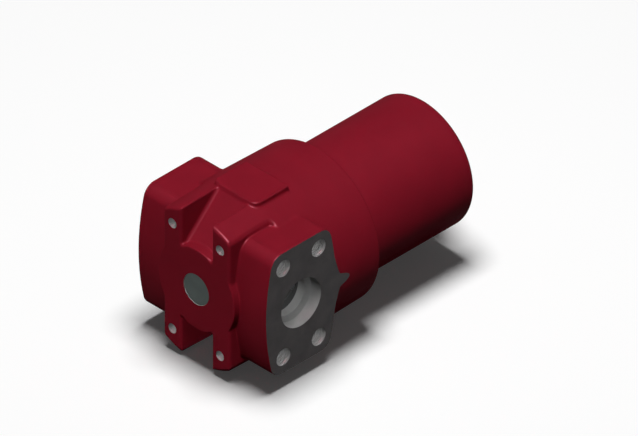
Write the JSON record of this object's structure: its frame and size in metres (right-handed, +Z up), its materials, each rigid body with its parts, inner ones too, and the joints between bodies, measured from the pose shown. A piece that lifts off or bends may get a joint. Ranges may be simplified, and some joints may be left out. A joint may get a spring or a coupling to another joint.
{
  "type": "hydraulic pressure filter",
  "caption": "Inline high-pressure oil filter: cast head with flanged side ports and front mounting face, screwed-in bowl, pleated element, bypass valve and plugged indicator port.",
  "frame": {"origin": "middle of the front mounting face, on the filter's axis", "axes": "+Y along the axis towards the bowl, X through the two ports with the inlet at +X, +Z up"},
  "size_m": [0.1608, 0.3065, 0.1646],
  "materials": {
    "red_paint": "satin dark red paint over cast and turned steel, bare machined faces",
    "grey_plug": "dark grey phosphated steel",
    "zinc": "zinc plated steel",
    "bare_steel": "bare machined steel",
    "spring_steel": "drawn spring wire",
    "seal_rubber": "black nitrile",
    "white_plastic": "white fluoroplastic",
    "filter_medium": "pleated glass fibre with support mesh"
  },
  "bodies": {
    "head": {"filter_head": "red_paint", "indicator_port_plug": "grey_plug", "indicator_plug_seal": "seal_rubber", "element_spigot": "zinc", "bypass_body": "zinc", "bypass_spring": "spring_steel", "bypass_spring_plate": "zinc", "bypass_circlip": "spring_steel", "element_top_cap": "zinc", "element_bottom_cap": "zinc", "element_core": "bare_steel", "element_pleats": "filter_medium", "element_outer_wrap": "bare_steel", "element_o_ring": "seal_rubber"},
    "bowl_seal": {"bowl_o_ring": "seal_rubber", "bowl_backup_ring": "white_plastic"},
    "bowl": {"filter_bowl": "red_paint", "drain_plug": "zinc", "drain_plug_seal": "seal_rubber"},
    "poppet": {"bypass_poppet": "bare_steel"}
  },
  "joints": [
    {"name": "bowl_travel", "type": "slide", "parent": "head", "child": "bowl_seal", "axis": [0, 1, 0], "range_m": [0, 0.03]},
    {"name": "bowl_turn", "type": "hinge", "parent": "bowl_seal", "child": "bowl", "pos_m": [0, 0.2, 0], "axis": [0, 1, 0], "range_deg": [0, 3600]},
    {"name": "bypass_lift", "type": "slide", "parent": "head", "child": "poppet", "axis": [0, 1, 0], "range_m": [0, 0.005], "stiffness_N_per_m": 1000, "springref_m": -0.004, "deforming": ["bypass_spring"]}
  ],
  "couplings": [
    {"joint": "bowl_travel", "follows": "bowl_turn", "m_per_rad": 0.00047746}
  ]
}
